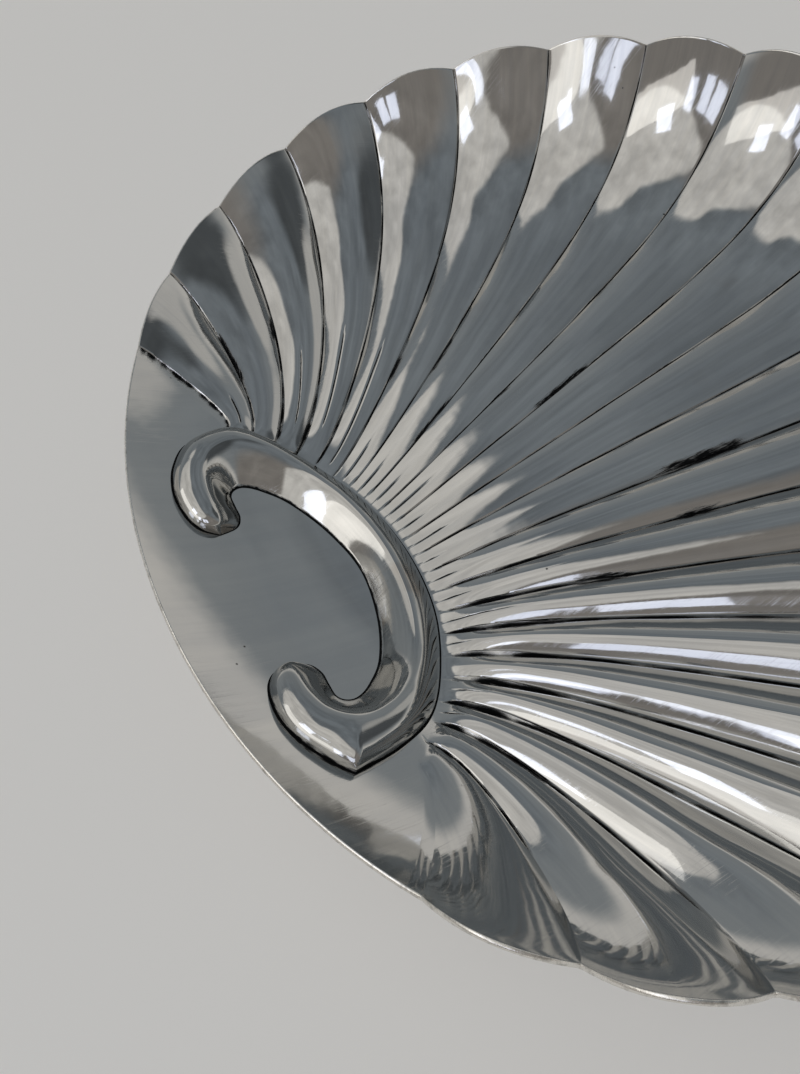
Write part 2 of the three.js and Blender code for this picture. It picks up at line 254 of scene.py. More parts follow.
# The near end of the fan dies away: lines stop before the rim, and the outermost is a soft crease that
# isn't cut.
LINE_FADES = {19: (0.62, 0.95), 20: (0.46, 0.62), 21: (-1, 0)}
LINE_STARTS, LINE_STARTS_SPREAD, LINE_BITES = 0.006, 0.02, 0.02
LINE_WEAKENS_FROM, LINE_WEAKENS = 0.75, 0.25
HEAVY_BLACK, HEAVY_FADES = 0.72, 0.05
# Black left in a line on the whole, at least, and how far and how fast it comes and goes along it.
BLACK_LEFT, BLACK_LEAST, BLACK_VARIES, BLACK_WAVES = 0.74, 0.35, 0.2, [(23, 1.7), (61, 4.1)]
SHORT_BITES, SHORT_FADES, SHORT_DEPTH, SHORT_HALF_WIDTH, SHORT_BLACK = 0.02, 0.04, 0.75, 0.42, 0.9


# No two ribs are alike. From the far end of the fan to the near end: how full each rib is half way along,
# against its fullness at the rim; how round its back is; over what share of its length it rises from the
# scroll; how much of the fullness it loses towards the rim; how far it reaches out there beyond the others;
# and how far it leans.
RIB_SWELL = np.array([1.9, 1.9, 1.8, 1.3, 0.9, 0.6, 0.55, 0.55, 0.55, 0.6,
                      0.8, 1.2, 1.7, 2.2, 2.6, 2.8, 2.7, 2.7, 2.6, 2.1, 1.2])
RIB_ROUND = np.array([2, 2, 2, 2, 2, 2, 2, 2, 2, 2,
                      2, 1.9, 1.8, 1.7, 1.6, 1.55, 1.55, 1.6, 1.7, 1.8, 2])
RIB_NOSE = np.array([0.1, 0.1, 0.1, 0.18, 0.34, 0.46, 0.5, 0.5, 0.5, 0.46,
                     0.38, 0.27, 0.18, 0.13, 0.1, 0.09, 0.09, 0.09, 0.09, 0.09, 0.1])
RIM_EASE = np.array([1, 1, 1, 1, 1, 1, 1, 1, 1, 1,
                     1, 1, 1, 1, 1, 1.05, 1.1, 1.15, 1.15, 1.15, 1])
RIM_REACH = np.array([0, 0, 0, 0, 0, 0, 0, 0, 0, 0,
                      0, 0, 0, 0, 0.4, 0.9, 1.6, 2.4, 3, 3.3, 2.8])
RIM_LEAN = np.array([0, 0, 0, -1.4, 0.4, -1.6, -1.3, 0.7, 0.8, -0.6,
                     0.3, -0.5, 0.4, 0, 0, 0, 0, 0, 0, 0, 0])
RIM_EASES_FROM, RIM_EASES_OVER, LEANS_FROM, LEANS_OVER = 0.62, 0.34, 0.88, 0.12


# The sheet's mesh: rows from the scroll's arc to the rim, closer together at the rim; rows inside the arc,
# from the field's centre out; columns on the plain side; and the turns round the sheet's cut edge.
ROWS_ABOVE, ROWS_BELOW, CLOSER_AT_RIM = 73, 37, 1.35
FIELD_ABOVE = np.array([0, 0.12, 0.25, 0.38, 0.5, 0.61, 0.7, 0.78, 0.85, 0.91, 0.96])
FIELD_BELOW = np.array([0, 0.3, 0.55, 0.78])
PLAIN_COLUMNS = np.linspace(0, 1, 55)[1:]
EDGE_TURNS = np.radians([28, 62, 90, 118, 152])
ROUNDING = 1e-9


def rows_to_rim(count):
    return 1 - (1 - np.linspace(0, 1, count)) ** CLOSER_AT_RIM


def line_strength(line, t):
    """How firmly a line is cut, from its start at the scroll to the rim."""
    start = LINE_STARTS + LINE_STARTS_SPREAD * ((line * 7) % 5) / 5
    weaker = LINE_WEAKENS * smooth((t - LINE_WEAKENS_FROM) / (1 - LINE_WEAKENS_FROM))
    strength = smooth((t - start) / LINE_BITES) * (1 - weaker)
    if line in LINE_FADES:
        fade, gone = LINE_FADES[line]
        strength = strength * (1 - smooth((t - fade) / (gone - fade)))
    return strength


def line_black(line, t):
    """How much black sulphide is left in a line: polishing has rubbed it out in places."""
    left = BLACK_LEFT + sum(BLACK_VARIES * np.sin(t * rate + line * shift) for rate, shift in BLACK_WAVES)
    return np.clip(left, BLACK_LEAST, 1)


def rib_width(lane, t):
    """How far it is from the line at one side of a rib to the line at its other side."""
    return np.linalg.norm(fan_plan(lane + 1, 0, t) - fan_plan(lane, 0, t), axis=-1)


def rib_columns(lobe, t):
    """A rib's mesh columns as shares of its width, close together at its lines and along its middle."""
    width = rib_width(np.full(len(t), lobe - LOBES / 2), t)
    left = BESIDE_LINE[:, None] / width
    middle = 0.5 + BESIDE_STROKE[:, None] / width
    steps = (np.arange(1, BETWEEN + 1) / (BETWEEN + 1))[:, None]
    first = left[-1] + (middle[0] - left[-1]) * steps
    second = middle[-1] + (1 - left[-1] - middle[-1]) * steps
    return np.concatenate([left, first, middle, second, 1 - left[:0:-1]]), width


def chase_rib(lobe, t, inside, width):
    """How deep the tool cut along a rib's two lines and its short stroke, and how black it left them."""
    cut = np.zeros_like(inside)
    black = np.zeros_like(inside)
    for line, off in ((lobe, inside * width), (lobe + 1, (1 - inside) * width)):
        firm = line_strength(line, t)
        cut = np.maximum(cut, firm * LINE_DEPTH * np.clip(1 - off / LINE_HALF_WIDTH, 0, 1))
        black = np.maximum(black, firm * line_black(line, t) * np.exp(-(off / BLACK_HALF_WIDTH) ** 2))
        for heavy, t0, t1, spread, side in HEAVY_STROKES:
            on_side = (side > 0) == (line == lobe)
            if heavy == line and on_side:
                length = smooth((t - t0) / HEAVY_FADES) * smooth((t1 - t) / HEAVY_FADES)
                black = np.maximum(black, HEAVY_BLACK * length * np.exp(-(off / spread) ** 4))
    for at, t0, t1 in SHORT_STROKES:
        if at == lobe:
            firm = smooth((t - t0) / SHORT_BITES) * smooth((t1 - t) / SHORT_FADES)
            off = np.abs(inside - 0.5) * width
            groove = np.clip(1 - off / SHORT_HALF_WIDTH, 0, 1)
            cut = np.maximum(cut, SHORT_DEPTH * firm * LINE_DEPTH * groove)
            black = np.maximum(black, SHORT_BLACK * firm * np.exp(-(off / BLACK_HALF_WIDTH) ** 2))
    return cut, black


def chase_fan(t):
    """The columns of all the ribs side by side: their lanes, how deep and how black the tool left them, and
    where they lie across the polishing streaks."""
    lanes, cuts, blacks, laid = [], [], [], []
    for lobe in range(LOBES):
        inside, width = rib_columns(lobe, t)
        cut, black = chase_rib(lobe, t, inside, width)
        lanes.append(lobe - LOBES / 2 + inside)
        cuts.append(cut)
        blacks.append(black)
        laid.append((inside - 0.5) * width + lobe * RIB_GRAIN_APART)
    firm = line_strength(LOBES, t)[None]
    lanes.append(np.full((1, len(t)), LOBES / 2))
    cuts.append(firm * LINE_DEPTH)
    blacks.append(firm * line_black(LOBES, t))
    laid.append(np.full((1, len(t)), LOBES * RIB_GRAIN_APART))
    return [np.concatenate(columns) for columns in (lanes, cuts, blacks, laid)]


def raise_ribs(lane, t):
    """How high the ribs stand above the bowl, and their plan out to the scalloped rim."""
    in_fan = lane + LOBES / 2
    in_lobe = in_fan % 1
    lobe = np.minimum(np.floor(in_fan + ROUNDING), LOBES - 1).astype(int)
    loss = np.where(lane > 0, NEAR_RIBS_LOSS, SIDE_RIBS_LOSS)
    loss = loss * smooth((np.abs(lane) - SIDE_RIBS_FROM) / (SIDE_RIBS_TO - SIDE_RIBS_FROM))
    arch = 4 * in_lobe * (1 - in_lobe)
    crown = arch * (1 - loss)
    nose = RIB_NOSE[lobe]
    eased = RIM_EASE[lobe] * smooth((t - RIM_EASES_FROM) / RIM_EASES_OVER)
    full = 1 + (RIB_SWELL[lobe] - 1) * smooth(t / nose / 2) * (1 - eased)
    back = (1 - np.abs(2 * in_lobe - 1) ** RIB_ROUND[lobe]) * (1 - loss)
    rib = RIB_RISE * rib_width(lobe - LOBES / 2, t) * back * full * smooth(t / nose)
    rib = rib + RIM_LEAN[lobe] * crown * np.clip((t - LEANS_FROM) / LEANS_OVER, 0, 1) ** 2
    return rib, fan_plan(lane, LOBE_REACH * crown + RIM_REACH[lobe] * arch, t)


def field_plan(lane, field):
    """Inside the arc the columns spread out evenly on their way to the field's centre."""
    even = np.linspace(-LOBES / 2, LOBES / 2, len(lane))[:, None]
    lane = even + (lane[:, :1] - even) * field ** 2
    share = np.broadcast_to(PLAIN_COLUMNS[:, None], (len(PLAIN_COLUMNS), len(field)))
    starts = np.concatenate([arc_start(lane)[0], plain_start(share)[0]])
    centre = np.array([0, FIELD_CENTRE_Y])
    return centre + (starts - centre) * field[:, None]


def upward_normals(skin, outward):
    """Normals of a face whose columns run outward from one point and go right round it."""
    ring = np.concatenate([skin[-2:-1], skin, skin[1:2]])
    normal = np.cross(outward, ring[2:] - ring[:-2])
    length = np.linalg.norm(normal, axis=-1, keepdims=True)
    normal = np.where(length > ROUNDING, normal / np.maximum(length, ROUNDING), np.array([0, 0, 1.0]))
    normal = np.where(normal[..., 2:3] < 0, -normal, normal)
    normal[:, 0] = normal[:, 1].mean(0)
    return normal


def sheet_face(t, field):
    """The sheet's upper face before the tool cuts it: points, normals, how deep and how black the cuts are,
    the way outward, and the place in the polishing streaks."""
    lane, cut, black, laid = chase_fan(t)
    rib, fan = raise_ribs(lane, np.broadcast_to(t, lane.shape))
    share = np.broadcast_to(PLAIN_COLUMNS[:, None], (len(PLAIN_COLUMNS), len(t)))
    around = np.concatenate([fan, plain_plan(share, np.broadcast_to(t, share.shape))])
    plan = np.concatenate([field_plan(lane, field), around], 1)
    plain_part = ((0, len(PLAIN_COLUMNS)), (len(field), 0))
    rib, cut, black = (np.pad(values, plain_part) for values in (rib, cut, black))
    cut[-1], black[-1] = cut[0], black[0]

    run = np.pad(np.cumsum(np.linalg.norm(np.diff(fan, axis=1), axis=-1), 1), ((0, 0), (1, 0)))
    grain = plan * FIELD_GRAIN
    grain[:len(lane), len(field):] = np.stack([laid, run], -1)

    skin = np.concatenate([plan, floor_height(plan)[..., None]], -1)
    skin = skin + floor_normal(plan) * rib[..., None]
    outward = np.gradient(skin, axis=1)
    normal = upward_normals(skin, outward)
    skin = skin + normal * unevenness(plan)[..., None]
    return skin, normal, cut, black, outward, grain


def paint_edge(dish, row, first, last):
    """The faces round the cut edge of the sheet, from one row to another, get the second material."""
    corner = np.zeros(len(dish.data.loops), int)
    dish.data.loops.foreach_get("vertex_index", corner)
    lowest_row = row[corner].reshape(-1, 4).min(1)
    on_edge = (lowest_row >= first) & (lowest_row < last)
    dish.data.polygons.foreach_set("material_index", on_edge.astype(np.int32))


def raise_dish():
    """The sheet, as one closed skin: upper face from the field's centre out, then the edge, then below."""
    top, normal, cut, black, _, grain = sheet_face(rows_to_rim(ROWS_ABOVE), FIELD_ABOVE)
    bottom, normal_below, _, _, outward, grain_below = sheet_face(rows_to_rim(ROWS_BELOW), FIELD_BELOW)
    upper = top - normal * cut[..., None]
    lower = bottom - normal_below * SHEET
    edge_out = outward[:, -1] / np.linalg.norm(outward[:, -1], axis=-1, keepdims=True)
    edge_up = normal_below[:, -1]
    edge = np.stack([bottom[:, -1] - edge_up * SHEET / 2 * (1 - math.cos(a))
                     + edge_out * EDGE_ROUND * math.sin(a) for a in EDGE_TURNS], 1)
    points = np.concatenate([upper, edge, lower[:, ::-1]], 1)
    dish, column, row = wrapped_grid("dish_shell_chased", place(points))
    black = np.pad(black, ((0, 0), (0, points.shape[1] - black.shape[1])))
    grain_edge = np.repeat(grain_below[:, -1:], len(EDGE_TURNS), 1)
    grain = np.concatenate([grain, grain_edge, grain_below[:, ::-1]], 1)
    mark_points(dish, "oxide_and_painted_shade", black[column, row])
    mark_points(dish, "grain_across", grain[column, row, 0])
    mark_points(dish, "grain_along", grain[column, row, 1])
    paint_edge(dish, row, upper.shape[1] - 1, upper.shape[1] + len(EDGE_TURNS))
    close_skin(dish, DISH_CREASE)
    return dish


def spline(points, count):
    """A smooth curve through the points, as a number of places, evenly many between each two points."""
    p = np.array(points, float)
    p = np.concatenate([2 * p[:1] - p[1:2], p, 2 * p[-1:] - p[-2:-1]])
    at = np.linspace(0, len(points) - 1, count)
    i = np.minimum(at.astype(int), len(points) - 2)
    f = (at - i)[:, None]
    a, b, c, d = p[i], p[i + 1], p[i + 2], p[i + 3]
    return 0.5 * (2 * b + (c - a) * f + (2 * a - 5 * b + 4 * c - d) * f ** 2
                  + (3 * b - a - 3 * c + d) * f ** 3)


def both_sides(far, near):
    left = [(-x, y) for x, y in far[:0:-1]]
    return [(x, y + SCROLL_CROWN_Y) for x, y in left + near]


def form_scroll():
    """The applied scroll: a band with a round outer flank, a long inner slope, and solder along its seam."""
    sections = 241
    outer = spline(both_sides(SCROLL_OUTER_FAR, SCROLL_OUTER_NEAR), sections)
    inner = spline(both_sides(SCROLL_INNER, SCROLL_INNER), sections)
    across = inner - outer
    width = np.linalg.norm(across, axis=-1, keepdims=True)
    side = across / np.maximum(width, 0.05)
    climb = np.linspace(0, math.pi / 2, 13)[:-1]
    fall = np.linspace(0, 1, 15)
    share = np.concatenate([SCROLL_CREST * (1 - np.cos(climb)), SCROLL_CREST + (1 - SCROLL_CREST) * fall])
    rise = np.concatenate([np.sin(climb) ** FLANK_ROUND, 1 - fall ** SLOPE_ROUND])
    heel_at = np.array([HEEL_POINT[0], HEEL_POINT[1] + SCROLL_CROWN_Y])
    heel = np.argmin(np.linalg.norm(outer - heel_at, axis=-1))
    run = np.concatenate([[0], np.cumsum(np.linalg.norm(np.diff(outer, axis=0), axis=-1))])
    pinch = HEEL_PINCH * np.exp(-np.abs(run - run[heel]) / HEEL_SPREAD)
    fade = np.clip(1 - share / SCROLL_CREST, 0, 1) ** HEEL_FADE
    plan = outer[:, None] + across[:, None] * share[None, :, None]
    plan = plan - side[:, None] * pinch[:, None, None] * fade[:, None]
    outer = outer - side * pinch[:, None]
    height = SCROLL_HEIGHT * width / 2 * rise[None] + SCROLL_STANDOFF
    flange = np.minimum(SOLDER_FLANGE, width / 4)
    skirts = [(-flange, 0.0), (-flange * 0.5, 0.1)]
    plans = [outer + side * s for s, _ in skirts] + [plan[:, j] for j in range(len(share))]
    plans += [inner - side * s for s, _ in reversed(skirts)]
    heights = [np.full(sections, h) for _, h in skirts] + [height[:, j] for j in range(len(share))]
    heights += [np.full(sections, h) for _, h in reversed(skirts)]
    under = [outer + across * f for f in (0.8, 0.5, 0.2)] + [plans[0]]
    plans += under
    heights += [np.full(sections, -0.05)] * 3 + [np.zeros(sections)]
    plan = np.stack(plans, 1)
    lift = np.stack(heights, 1)
    base = floor_height(plan) + unevenness(plan)
    points = np.concatenate([plan, base[..., None]], -1) + floor_normal(plan) * lift[..., None]
    for end in (0, -1):
        points[end] = points[end].mean(0)
    scroll, column, row = wrapped_grid("scroll_handle_formed", place(points))
    # Painted shade: the black at the seam is partly dirt in the joint and partly painted shade in the corner,
    # and the outer flank is darkened with painted shade.
    seam_black_and_flank_shade = np.exp(-(np.minimum(lift, 3) / SEAM_BLACK_RISE) ** 2)
    outside = (np.arange(lift.shape[1]) < len(skirts) + len(climb)) & (lift >= 0.1)
    seam_black_and_flank_shade = np.maximum(seam_black_and_flank_shade, FLANK_PAINTED_SHADE * outside * np.exp(-(lift / FLANK_PAINTED_SHADE_RISE) ** 2))
    mark_points(scroll, "oxide_and_painted_shade", seam_black_and_flank_shade[column, row])
    mark_points(scroll, "grain_across", row * SCROLL_GRAIN)
    mark_points(scroll, "grain_along", run[column])
    close_skin(scroll, SCROLL_CREASE)
    return scroll


def turn_foot(name, x, y):
    """A ball, cut flat where it stands and where it meets the sheet, with a low collar of solder there."""
    centre = math.sqrt(FOOT_RADIUS ** 2 - FOOT_FLAT ** 2)
    bpy.ops.object.select_all(action="DESELECT")
    bpy.ops.mesh.primitive_uv_sphere_add(segments=64, ring_count=40, radius=FOOT_RADIUS * MM,
                                         location=(0, 0, centre * MM))
    foot = bpy.context.object
    foot.name = foot.data.name = name + "_turned"
    bpy.ops.object.transform_apply(location=True)
    bpy.ops.object.mode_set(mode="EDIT")
    bpy.ops.mesh.select_all(action="SELECT")
    bpy.ops.mesh.bisect(plane_co=(0, 0, 0.01 * MM), plane_no=(0, 0, 1), clear_inner=True, use_fill=True)
    bpy.ops.mesh.bevel(offset=FOOT_BEVEL * MM, segments=3, affect="EDGES")
    bpy.ops.mesh.select_all(action="SELECT")
    bpy.ops.mesh.bisect(plane_co=(0, 0, COLLAR_AT * MM), plane_no=(0, 0, 1), clear_outer=True, use_fill=True)
    for lift, spread in COLLAR_STEPS:
        bpy.ops.mesh.extrude_region_move(TRANSFORM_OT_translate={"value": (0, 0, lift * MM)})
        bpy.ops.transform.resize(value=(spread, spread, 1), center_override=(0, 0, COLLAR_AT * MM))
    bpy.ops.mesh.select_all(action="SELECT")
    bpy.ops.mesh.normals_make_consistent(inside=False)
    bpy.ops.transform.translate(value=(x * MM, y * MM, 0))
    bpy.ops.object.mode_set(mode="OBJECT")
    bpy.ops.object.shade_smooth_by_angle(angle=math.radians(FOOT_CREASE))
    return foot


def linear(code):
    """An sRGB hex colour as linear light, with full alpha."""
    parts = [int(code[i:i + 2], 16) / 255 for i in (1, 3, 5)]
    return [c / 12.92 if c <= 0.04045 else ((c + 0.055) / 1.055) ** 2.4 for c in parts] + [1]


def add(tree, kind, inputs, **settings):
    """A node with its settings, its fixed values and its links."""
    made = tree.nodes.new(kind)
    for key, value in settings.items():
        setattr(made, key, value)
    for key, value in inputs.items():
        if isinstance(value, bpy.types.NodeSocket):
            tree.links.new(value, made.inputs[key])
        else:
            made.inputs[key].default_value = value
    return made


def new_material(name):
    material = bpy.data.materials.new(name)
    material.use_nodes = True
    material.node_tree.nodes.clear()
    return material, material.node_tree


def finish_material(tree, shader):
    add(tree, "ShaderNodeOutputMaterial", {"Surface": shader.outputs[0]})


def sulphide_and_painted_shade(tree, grain):
    """Black sulphide: solid in the bottom of a line, and beside it in fine tool strokes, about 0.4 mm apart
    and 5 mm long. On the scroll the same black is partly dirt and partly painted shade at its seam, and
    painted shade up its outer flank."""
    oxide_and_painted_shade = add(tree, "ShaderNodeAttribute", {}, attribute_name="oxide_and_painted_shade").outputs["Fac"]
    drawn = add(tree, "ShaderNodeMapping", {"Vector": grain, "Scale": (2.6, 0.2, 1)})
    strokes = add(tree, "ShaderNodeTexNoise", {"Vector": drawn.outputs[0], "Scale": 1, "Detail": 4,
                                               "Roughness": 0.7}).outputs["Fac"]
    shoulder = add(tree, "ShaderNodeMath", {0: strokes, 1: 1.5, 2: -0.75}, operation="MULTIPLY_ADD")
    left = add(tree, "ShaderNodeMath", {0: oxide_and_painted_shade, 1: shoulder.outputs[0]}, operation="SUBTRACT")
    black = add(tree, "ShaderNodeMapRange", {"Value": left.outputs[0], "From Min": 0.3, "From Max": 0.62})
    return black.outputs[0], strokes


def scattered_pits(tree, where):
    """Dark specks about 0.5 mm wide, one to a few square centimetres."""
    cells = add(tree, "ShaderNodeTexVoronoi", {"Vector": where, "Scale": 190, "Randomness": 1}, feature="F1")
    chosen = add(tree, "ShaderNodeSeparateColor", {"Color": cells.outputs["Color"]})
    rare = add(tree, "ShaderNodeMath", {0: chosen.outputs[0], 1: 0.96}, operation="GREATER_THAN")
    dot = add(tree, "ShaderNodeMapRange", {"Value": cells.outputs["Distance"], "From Min": 0.09,
                                           "From Max": 0.04})
    pit = add(tree, "ShaderNodeMath", {0: rare.outputs[0], 1: dot.outputs[0]}, operation="MULTIPLY")
    return pit.outputs[0]


def hairlines(tree, where):
    """Three sets of long thin scratches, about 0.2 mm apart, drawn coarser than real ones so that they
    show."""
    hairs = []
    for turn, spread in ((0.5, 5200), (-0.9, 6100), (1.7, 4400)):
        laid = add(tree, "ShaderNodeMapping", {"Vector": where, "Rotation": (0, 0, turn),
                                               "Scale": (spread, spread * 0.012, 40)})
        hair = add(tree, "ShaderNodeTexNoise", {"Vector": laid.outputs[0], "Scale": 1, "Detail": 2})
        hairs.append(add(tree, "ShaderNodeMapRange", {"Value": hair.outputs["Fac"], "From Min": 0.63,
                                                      "From Max": 0.8}).outputs[0])
    scratch = add(tree, "ShaderNodeMath", {0: hairs[0], 1: hairs[1]}, operation="MAXIMUM").outputs[0]
    return add(tree, "ShaderNodeMath", {0: scratch, 1: hairs[2]}, operation="MAXIMUM").outputs[0]


def hand_polished_silver(name, clean, film, roughness, tarnish):
    """Sterling sheet, raised by hammer, polished by hand for years: a mirror that is soft from fine rubbing,
    with a thin uneven film, hairline scratches, pits, and black sulphide left in the lines. On the scroll
    that black also stands at its seam, partly dirt and partly painted shade, and as painted shade up its
    outer flank."""
    material, tree = new_material(name)
    where = add(tree, "ShaderNodeTexCoord", {}).outputs["Object"]
    across = add(tree, "ShaderNodeAttribute", {}, attribute_name="grain_across").outputs["Fac"]
    along = add(tree, "ShaderNodeAttribute", {}, attribute_name="grain_along").outputs["Fac"]
    grain = add(tree, "ShaderNodeCombineXYZ", {"X": across, "Y": along}).outputs[0]
    black, strokes = sulphide_and_painted_shade(tree, grain)
    pit = scattered_pits(tree, where)
    scratch = hairlines(tree, where)

    # Film: cloudy over about 45 mm, rubbed into streaks along the work, about 2 mm wide and 60 mm long.
    cloud = add(tree, "ShaderNodeTexNoise", {"Vector": where, "Scale": 22, "Detail": 5, "Roughness": 0.6})
    rubbed = add(tree, "ShaderNodeMapping", {"Vector": grain, "Scale": (0.45, 0.016, 1)})
    veil = add(tree, "ShaderNodeTexNoise", {"Vector": rubbed.outputs[0], "Scale": 1, "Detail": 4,
                                            "Roughness": 0.65})
    veiled = add(tree, "ShaderNodeMath", {0: cloud.outputs["Fac"], 1: veil.outputs["Fac"]},
                 operation="MULTIPLY")
    film_share = add(tree, "ShaderNodeMapRange", {"Value": veiled.outputs[0], "From Min": 0.16,
                                                  "From Max": 0.36})
    colour = add(tree, "ShaderNodeMix", {0: film_share.outputs[0], 6: linear(clean), 7: linear(film)},
                 data_type="RGBA").outputs[2]

    # Warm tarnish in a few places, about 12 mm across, then the black and the pits. On the scroll the black
    # also holds painted shade at its seam and up its outer flank.
    spot = add(tree, "ShaderNodeTexNoise", {"Vector": where, "Scale": 38, "Detail": 3, "Roughness": 0.5})
    warm = add(tree, "ShaderNodeMapRange", {"Value": spot.outputs["Fac"], "From Min": 0.68,
                                            "From Max": 0.8, "To Max": tarnish})
    for share, tone in ((warm.outputs[0], "#8A6A48"), (black, "#1B1C1D"), (pit, "#4A4846")):
        colour = add(tree, "ShaderNodeMix", {0: share, 6: colour, 7: linear(tone)},
                     data_type="RGBA").outputs[2]

    rough = add(tree, "ShaderNodeMapRange", {"Value": veil.outputs["Fac"], "From Min": 0.3, "From Max": 0.75,
                                             "To Min": roughness * 0.7, "To Max": roughness * 1.5}).outputs[0]
    for share, rougher in ((scratch, 0.1), (black, 0.5), (pit, 0.3)):
        rough = add(tree, "ShaderNodeMath", {0: share, 1: rougher, 2: rough}, operation="MULTIPLY_ADD",
                    use_clamp=True).outputs[0]

    # Relief: hammer facets worn nearly flat, about 7 mm across, then hairlines and tool strokes.
    facet = add(tree, "ShaderNodeTexNoise", {"Vector": where, "Scale": 140, "Detail": 1, "Roughness": 0.4})
    relief = add(tree, "ShaderNodeBump", {"Height": facet.outputs["Fac"], "Strength": 1, "Distance": 0.00005})
    relief = add(tree, "ShaderNodeBump", {"Height": scratch, "Strength": 0.25, "Distance": 0.00001,
                                          "Normal": relief.outputs[0]}, invert=True)
    relief = add(tree, "ShaderNodeBump", {"Height": strokes, "Strength": black, "Distance": 0.0002,
                                          "Normal": relief.outputs[0]})
    shader = add(tree, "ShaderNodeBsdfPrincipled", {"Base Color": colour, "Metallic": 1, "Roughness": rough,
                                                    "Normal": relief.outputs[0]})
    finish_material(tree, shader)
    return material


def worn_silver_edge():
    """The cut edge of the sheet, filed round and rubbed bright by handling: paler than the faces, satin,
    nicked."""
    material, tree = new_material("silver_edge_filed_and_worn")
    where = add(tree, "ShaderNodeTexCoord", {}).outputs["Object"]
    nick = add(tree, "ShaderNodeTexNoise", {"Vector": where, "Scale": 420, "Detail": 4, "Roughness": 0.7})
    share = add(tree, "ShaderNodeMapRange", {"Value": nick.outputs["Fac"], "From Min": 0.5, "From Max": 0.75})
    colour = add(tree, "ShaderNodeMix", {0: share.outputs[0], 6: linear("#E6E3DD"), 7: linear("#9C9993")},
                 data_type="RGBA")
    rough = add(tree, "ShaderNodeMapRange", {"Value": nick.outputs["Fac"], "To Min": 0.14, "To Max": 0.42})
    relief = add(tree, "ShaderNodeBump", {"Height": nick.outputs["Fac"], "Strength": 0.5,
                                          "Distance": 0.00015})
    shader = add(tree, "ShaderNodeBsdfPrincipled", {"Base Color": colour.outputs[2], "Metallic": 1,
                                                    "Roughness": rough.outputs[0],
                                                    "Normal": relief.outputs[0]})
    finish_material(tree, shader)
    return material


def pale_floor():
    """Matt painted board. The camera and the silver see it paler than it lights, and it keeps the shadow."""
    material, tree = new_material("matt_painted_board")
    sight = add(tree, "ShaderNodeLightPath", {})
    seen = add(tree, "ShaderNodeMath", {0: sight.outputs["Is Camera Ray"], 1: sight.outputs["Is Glossy Ray"]},
               operation="MAXIMUM")
    seen = add(tree, "ShaderNodeMath", {0: seen.outputs[0], 1: sight.outputs["Is Transmission Ray"]},
               operation="MAXIMUM")
    glow = add(tree, "ShaderNodeMath", {0: seen.outputs[0], 1: 0.18}, operation="MULTIPLY")
    paint = add(tree, "ShaderNodeBsdfPrincipled", {"Base Color": linear("#D9D7D3"), "Roughness": 0.85,
                                                   "Emission Color": linear("#FFFFFF"),
                                                   "Emission Strength": glow.outputs[0]})
    finish_material(tree, paint)
    return material


dish = raise_dish()
scroll = form_scroll()
feet = {name: turn_foot(name, x, y) for name, (x, y) in FOOT_PLACES.items()}

dish_silver = hand_polished_silver("sterling_sheet_raised_and_hand_polished",
                                   "#CAC9C6", "#C0C0BF", 0.06, 0.12)
scroll_silver = hand_polished_silver("sterling_band_formed_and_hand_polished",
                                     "#CAC9C6", "#B6B6B4", 0.06, 0.5)
foot_silver = hand_polished_silver("silver_ball_turned_and_scuffed", "#C3C2BF", "#A3A2A0", 0.2, 0.4)
dish.data.materials.append(dish_silver)
dish.data.materials.append(worn_silver_edge())
scroll.data.materials.append(scroll_silver)
for foot in feet.values():
    foot.data.materials.append(foot_silver)

for piece, node, slot in [(dish, "dish_shell", "dish_silver"), (scroll, "scroll_handle", "scroll_silver")] + [
        (foot, name, "foot_silver") for name, foot in feet.items()]:
    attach(piece, "root")
    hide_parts(node)

# Floor.
bpy.ops.object.select_all(action="DESELECT")
bpy.ops.mesh.primitive_plane_add(size=9, location=(0, 0, 0))
floor = bpy.context.object
floor.name = "floor"
floor.data.materials.append(pale_floor())


def softbox(name, direction, distance, size, radiance, colour):
    """A rectangular lamp that faces the dish from a direction, with the brightness it shows in a mirror."""
    lamp = bpy.data.lights.new(name, "AREA")
    lamp.shape = "RECTANGLE"
    lamp.size, lamp.size_y = size
    lamp.energy = radiance * math.pi * size[0] * size[1]
    lamp.color = linear(colour)[:3]
    holder = bpy.data.objects.new(name, lamp)
    scene.collection.objects.link(holder)
    towards = Vector(direction).normalized()
    holder.location = towards * distance
    holder.rotation_euler = towards.to_track_quat("Z", "Y").to_euler()
    holder.visible_camera = False
    return holder


softbox("wall_card", direction=(-0.1, -0.72, 0.7), distance=2.6, size=(2.8, 0.9), radiance=0.72,
        colour="#F2EFEA")
# Windows: turn from the dish's axis and lift above the floor in degrees, and size in metres.
WINDOW_DISTANCE, WINDOW_RADIANCE = 2.0, 1.3
WINDOWS = [(116, 43, (0.3, 0.5)), (130, 43, (0.3, 0.5)), (150, 45, (0.3, 0.5)), (180, 56, (0.46, 0.5))]
for number, (turn, lift, size) in enumerate(WINDOWS):
    turn, lift = math.radians(turn), math.radians(lift)
    towards = (math.cos(lift) * math.sin(turn), math.cos(lift) * math.cos(turn), math.sin(lift))
    softbox(f"window_{number}", towards, WINDOW_DISTANCE, size, WINDOW_RADIANCE, "#E2EAFF")

# Parts of the room: direction from the dish, cosines from it where the part begins to show and shows fully,
# and tone.
ROOM_PARTS = {
    "warm side": ((0.7, -0.7, 0), 0.0, 0.3, "#8B8783"),
    "dark corner": ((0.22, 0.84, 0.5), 0.93, 0.98, "#54585B"),
    "paler wall": ((-0.131, 0.931, 0.342), 0.972, 0.99, "#C4C3C0"),
}
ROOM_BELOW, ROOM_ABOVE, CEILING, BACKDROP = "#8F9497", "#7C8389", "#DAD8D4", "#D2D0CC"
CEILING_CENTRE, CEILING_REACH = (-0.35, -0.45, 0), 1.0


